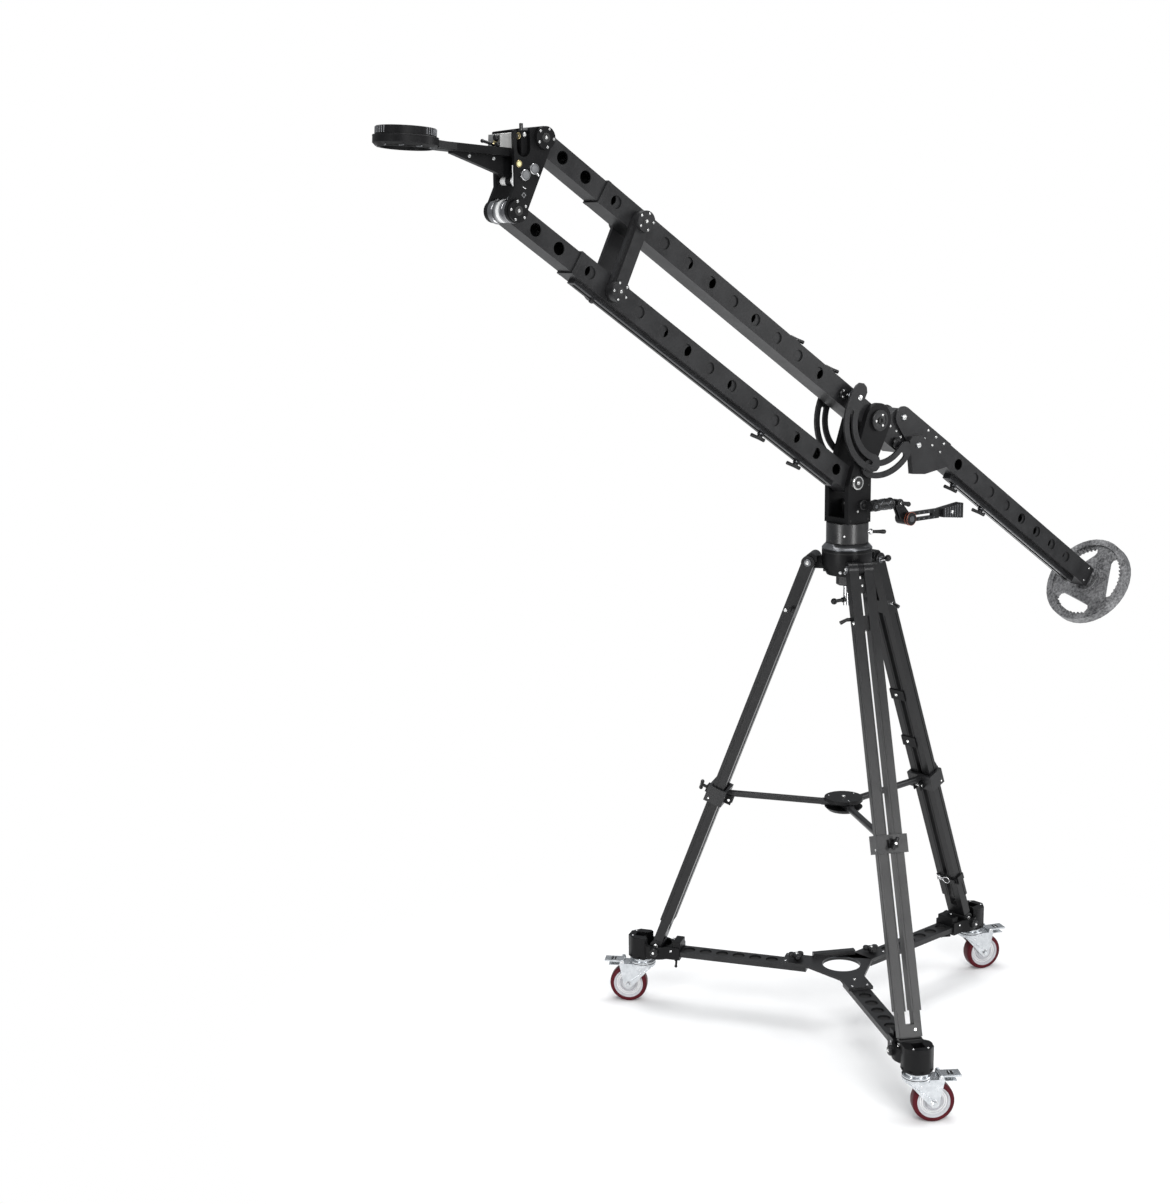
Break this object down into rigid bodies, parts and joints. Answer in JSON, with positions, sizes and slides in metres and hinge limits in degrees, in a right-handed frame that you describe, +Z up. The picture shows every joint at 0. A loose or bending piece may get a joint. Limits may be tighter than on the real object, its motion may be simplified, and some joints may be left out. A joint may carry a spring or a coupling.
{
  "type": "camera jib crane",
  "caption": "Camera jib crane: parallel telescoping box beams with a self-levelling camera bowl and a counterweight arm, on a tripod standing in a caster dolly.",
  "frame": {"origin": "centre of the bounding box, at floor level", "axes": "+Z up, the camera end along -X and the counterweight along +X, with the monitor arm on the -Y side"},
  "size_m": [2.309, 1.0822, 2.2623],
  "materials": {
    "black_anodised": "satin black anodised",
    "black_casting": "satin black",
    "black_plastic": "matt black",
    "zinc": "bright zinc plated",
    "steel": "polished",
    "bare_aluminium": "natural",
    "wheel_tyre": "dark red polyurethane",
    "hammered_iron": "grey hammertone paint"
  },
  "bodies": {
    "dolly": {"dolly_plate": "black_anodised", "dolly_arm_front": "black_anodised", "leg_cup_front": "black_casting", "dolly_arm_right": "black_anodised", "leg_cup_right": "black_casting", "dolly_arm_left": "black_anodised", "leg_cup_left": "black_casting"},
    "dolly_knob_left": {"dolly_knob_left": "black_plastic"},
    "dolly_knob_right": {"dolly_knob_right": "black_plastic"},
    "crown": {"tripod_crown": "black_casting", "pan_base": "black_anodised"},
    "tie_down": {"tie_down_handle": "steel"},
    "spreader": {"spreader_hub": "black_casting", "spreader_arm_front": "black_anodised", "spreader_arm_right": "black_anodised", "spreader_arm_left": "black_anodised"},
    "pan_head": {"pan_hub": "black_anodised", "yoke": "black_anodised", "upper_axle": "black_anodised", "lower_axle": "steel", "monitor_arm_base": "black_plastic"},
    "pan_lock": {"pan_lock_lever": "black_plastic"},
    "monitor_link": {"monitor_arm_link": "black_plastic"},
    "boom": {"upper_beam": "black_anodised", "tilt_arc_near": "black_anodised", "tilt_arc_far": "black_anodised", "rear_tube": "black_anodised"},
    "lower_boom": {"lower_beam": "black_anodised"},
    "upper_extension": {"upper_inner_tube": "black_anodised"},
    "lower_extension": {"lower_inner_tube": "black_anodised"},
    "mid_link": {"mid_link_near": "black_anodised", "mid_link_far": "black_anodised"},
    "head": {"head_bracket": "black_anodised"},
    "head_lever": {"head_tilt_lever": "steel"},
    "camera_platform": {"camera_arm": "black_anodised", "head_block": "bare_aluminium"},
    "weight_arm": {"rear_inner_tube": "black_anodised"},
    "counterweight": {"counterweight_plate": "hammered_iron"},
    "retainer": {"weight_retainer": "steel"},
    "caster_front": {"caster_fork_front": "zinc"},
    "wheel_front": {"caster_wheel_front": "wheel_tyre"},
    "pedal_front": {"brake_pedal_front": "zinc"},
    "leg_upper_front": {"leg_upper_front": "black_anodised"},
    "leg_lower_front": {"leg_lower_front": "black_anodised"},
    "caster_right": {"caster_fork_right": "zinc"},
    "wheel_right": {"caster_wheel_right": "wheel_tyre"},
    "pedal_right": {"brake_pedal_right": "zinc"},
    "leg_upper_right": {"leg_upper_right": "black_anodised"},
    "leg_lower_right": {"leg_lower_right": "black_anodised"},
    "caster_left": {"caster_fork_left": "zinc"},
    "wheel_left": {"caster_wheel_left": "wheel_tyre"},
    "pedal_left": {"brake_pedal_left": "zinc"},
    "leg_upper_left": {"leg_upper_left": "black_anodised"},
    "leg_lower_left": {"leg_lower_left": "black_anodised"},
    "upper_lock_lever_front": {"upper_lock_lever_front": "black_plastic"},
    "upper_lock_lever_rear": {"upper_lock_lever_rear": "black_plastic"},
    "lower_lock_lever_front": {"lower_lock_lever_front": "black_plastic"},
    "lower_lock_lever_rear": {"lower_lock_lever_rear": "black_plastic"},
    "weight_arm_lock_lever_front": {"weight_arm_lock_lever_front": "black_plastic"},
    "weight_arm_lock_lever_rear": {"weight_arm_lock_lever_rear": "black_plastic"}
  },
  "joints": [
    {"name": "caster_swivel_front", "type": "hinge", "parent": "dolly", "child": "caster_front", "pos_m": [-0.08928, -0.47309, 0.118], "axis": [0, 0, 1], "continuous": true},
    {"name": "wheel_roll_front", "type": "hinge", "parent": "caster_front", "child": "wheel_front", "pos_m": [-0.05705, -0.49323, 0.05], "axis": [0.5299, 0.848, 0], "continuous": true},
    {"name": "brake_pedal_front", "type": "hinge", "parent": "caster_front", "child": "pedal_front", "pos_m": [-0.04348, -0.50171, 0.113], "axis": [0.5299, 0.848, 0], "range_deg": [0, 7]},
    {"name": "caster_swivel_right", "type": "hinge", "parent": "dolly", "child": "caster_right", "pos_m": [0.67826, 0.05837, 0.118], "axis": [0, 0, 1], "continuous": true},
    {"name": "wheel_roll_right", "type": "hinge", "parent": "caster_right", "child": "wheel_right", "pos_m": [0.71419, 0.046, 0.05], "axis": [0.3256, 0.9455, 0], "continuous": true},
    {"name": "brake_pedal_right", "type": "hinge", "parent": "caster_right", "child": "pedal_right", "pos_m": [0.72932, 0.04079, 0.113], "axis": [0.3256, 0.9455, 0], "range_deg": [0, 7]},
    {"name": "caster_swivel_left", "type": "hinge", "parent": "dolly", "child": "caster_left", "pos_m": [-0.16577, 0.45734, 0.118], "axis": [0, 0, 1], "continuous": true},
    {"name": "wheel_roll_left", "type": "hinge", "parent": "caster_left", "child": "wheel_left", "pos_m": [-0.19264, 0.48421, 0.05], "axis": [-0.7071, -0.7071, 0], "continuous": true},
    {"name": "brake_pedal_left", "type": "hinge", "parent": "caster_left", "child": "pedal_left", "pos_m": [-0.20395, 0.49553, 0.113], "axis": [-0.7071, -0.7071, 0], "range_deg": [0, 7]},
    {"name": "dolly_knob_left", "type": "hinge", "parent": "dolly", "child": "dolly_knob_left", "pos_m": [0.0739, 0.11122, 0.17], "axis": [0, 0, 1], "continuous": true},
    {"name": "dolly_knob_right", "type": "hinge", "parent": "dolly", "child": "dolly_knob_right", "pos_m": [0.25867, 0.02388, 0.17], "axis": [0, 0, 1], "continuous": true},
    {"name": "tripod_lift", "type": "slide", "parent": "dolly", "child": "crown", "axis": [0, 0, 1], "range_m": [0, 0.2]},
    {"name": "leg_swing_front", "type": "hinge", "parent": "crown", "child": "leg_upper_front", "pos_m": [0.10175, -0.06897, 1.225], "axis": [0.9041, -0.4274, 0], "range_deg": [0, 3.2]},
    {"name": "leg_stage_front", "type": "slide", "parent": "leg_upper_front", "child": "leg_lower_front", "axis": [-0.1519, -0.3214, -0.9347], "range_m": [0, 0.19]},
    {"name": "leg_swing_right", "type": "hinge", "parent": "crown", "child": "leg_upper_right", "pos_m": [0.23276, 0.02175, 1.225], "axis": [-0.0819, 0.9966, 0], "range_deg": [0, 3.2]},
    {"name": "leg_stage_right", "type": "slide", "parent": "leg_upper_right", "child": "leg_lower_right", "axis": [0.3543, 0.0291, -0.9347], "range_m": [0, 0.19]},
    {"name": "leg_swing_left", "type": "hinge", "parent": "crown", "child": "leg_upper_left", "pos_m": [0.0887, 0.08985, 1.225], "axis": [-0.8221, -0.5693, 0], "range_deg": [0, 3.2]},
    {"name": "leg_stage_left", "type": "slide", "parent": "leg_upper_left", "child": "leg_lower_left", "axis": [-0.2024, 0.2923, -0.9347], "range_m": [0, 0.19]},
    {"name": "spreader_slide", "type": "slide", "parent": "dolly", "child": "spreader", "axis": [0, 0, 1], "range_m": [0, 0.085]},
    {"name": "tie_down_turn", "type": "hinge", "parent": "crown", "child": "tie_down", "pos_m": [0.14107, 0.01421, 1.18], "axis": [0, 0, 1], "continuous": true},
    {"name": "pan", "type": "hinge", "parent": "crown", "child": "pan_head", "pos_m": [0.14107, 0.01421, 1.29], "axis": [0, 0, 1], "continuous": true},
    {"name": "pan_lock_turn", "type": "hinge", "parent": "pan_head", "child": "pan_lock", "pos_m": [0.18423, -0.02747, 1.303], "axis": [0.7193, -0.6947, 0], "range_deg": [-90, 90]},
    {"name": "monitor_arm_joint", "type": "hinge", "parent": "pan_head", "child": "monitor_link", "pos_m": [0.24707, -0.04779, 1.371], "axis": [0, 1, 0], "range_deg": [-25, 50]},
    {"name": "boom_tilt", "type": "hinge", "parent": "pan_head", "child": "boom", "pos_m": [0.20207, 0.01421, 1.576], "axis": [0, 1, 0], "range_deg": [-72, 26]},
    {"name": "lower_boom_tilt", "type": "hinge", "parent": "pan_head", "child": "lower_boom", "pos_m": [0.13007, 0.01421, 1.429], "axis": [0, 1, 0], "range_deg": [-72, 26]},
    {"name": "mid_link_tilt", "type": "hinge", "parent": "boom", "child": "mid_link", "pos_m": [-0.52256, 0.01421, 2.05927], "axis": [0, 1, 0], "range_deg": [-26, 72]},
    {"name": "boom_extension", "type": "slide", "parent": "boom", "child": "upper_extension", "axis": [-0.832, 0, 0.5548], "range_m": [-0.1, 0.4]},
    {"name": "lower_extension", "type": "slide", "parent": "lower_boom", "child": "lower_extension", "axis": [-0.832, 0, 0.5548], "range_m": [-0.1, 0.4]},
    {"name": "head_level", "type": "hinge", "parent": "upper_extension", "child": "head", "pos_m": [-0.78047, 0.01421, 2.23127], "axis": [0, 1, 0], "range_deg": [-26, 72]},
    {"name": "camera_tilt", "type": "hinge", "parent": "head", "child": "camera_platform", "pos_m": [-0.83747, 0.01421, 2.14527], "axis": [0, 1, 0], "range_deg": [-15, 3]},
    {"name": "head_lever_turn", "type": "hinge", "parent": "head", "child": "head_lever", "pos_m": [-0.82247, 0.01421, 2.23527], "axis": [1, 0, 0], "continuous": true},
    {"name": "weight_arm_slide", "type": "slide", "parent": "boom", "child": "weight_arm", "axis": [0.832, 0, -0.5548], "range_m": [0, 0.35]},
    {"name": "counterweight_slide", "type": "slide", "parent": "weight_arm", "child": "counterweight", "axis": [0.832, 0, -0.5548], "range_m": [0, 0.12]},
    {"name": "retainer_slide", "type": "slide", "parent": "weight_arm", "child": "retainer", "axis": [0.832, 0, -0.5548], "range_m": [0, 0.12]},
    {"name": "upper_lock_lever_front_turn", "type": "hinge", "parent": "upper_extension", "child": "upper_lock_lever_front", "pos_m": [-0.03392, 0.01421, 1.77185], "axis": [0.5548, 0, 0.832], "range_deg": [-90, 90]},
    {"name": "upper_lock_lever_rear_turn", "type": "hinge", "parent": "upper_extension", "child": "upper_lock_lever_rear", "pos_m": [0.08006, 0.01421, 1.69584], "axis": [0.5548, 0, 0.832], "range_deg": [-90, 90]},
    {"name": "lower_lock_lever_front_turn", "type": "hinge", "parent": "lower_extension", "child": "lower_lock_lever_front", "pos_m": [-0.1492, 0.01421, 1.55996], "axis": [0.5548, 0, 0.832], "range_deg": [-90, 90]},
    {"name": "lower_lock_lever_rear_turn", "type": "hinge", "parent": "lower_extension", "child": "lower_lock_lever_rear", "pos_m": [-0.03522, 0.01421, 1.48394], "axis": [0.5548, 0, 0.832], "range_deg": [-90, 90]},
    {"name": "weight_arm_lock_lever_front_turn", "type": "hinge", "parent": "weight_arm", "child": "weight_arm_lock_lever_front", "pos_m": [0.51544, 0.01421, 1.37903], "axis": [0.5548, 0, 0.832], "range_deg": [-90, 90]},
    {"name": "weight_arm_lock_lever_rear_turn", "type": "hinge", "parent": "weight_arm", "child": "weight_arm_lock_lever_rear", "pos_m": [0.6236, 0.01421, 1.3069], "axis": [0.5548, 0, 0.832], "range_deg": [-90, 90]}
  ],
  "couplings": [
    {"joint": "leg_swing_front", "follows": "tripod_lift", "rad_per_m": 0.26958},
    {"joint": "leg_stage_front", "follows": "tripod_lift", "ratio": 0.94425},
    {"joint": "leg_swing_right", "follows": "tripod_lift", "rad_per_m": 0.26958},
    {"joint": "leg_stage_right", "follows": "tripod_lift", "ratio": 0.94425},
    {"joint": "leg_swing_left", "follows": "tripod_lift", "rad_per_m": 0.26958},
    {"joint": "leg_stage_left", "follows": "tripod_lift", "ratio": 0.94425},
    {"joint": "spreader_slide", "follows": "tripod_lift", "ratio": 0.41143},
    {"joint": "lower_boom_tilt", "follows": "boom_tilt", "ratio": 1},
    {"joint": "mid_link_tilt", "follows": "boom_tilt", "ratio": -1},
    {"joint": "lower_extension", "follows": "boom_extension", "ratio": 1},
    {"joint": "head_level", "follows": "boom_tilt", "ratio": -1},
    {"joint": "retainer_slide", "follows": "counterweight_slide", "ratio": 1}
  ]
}
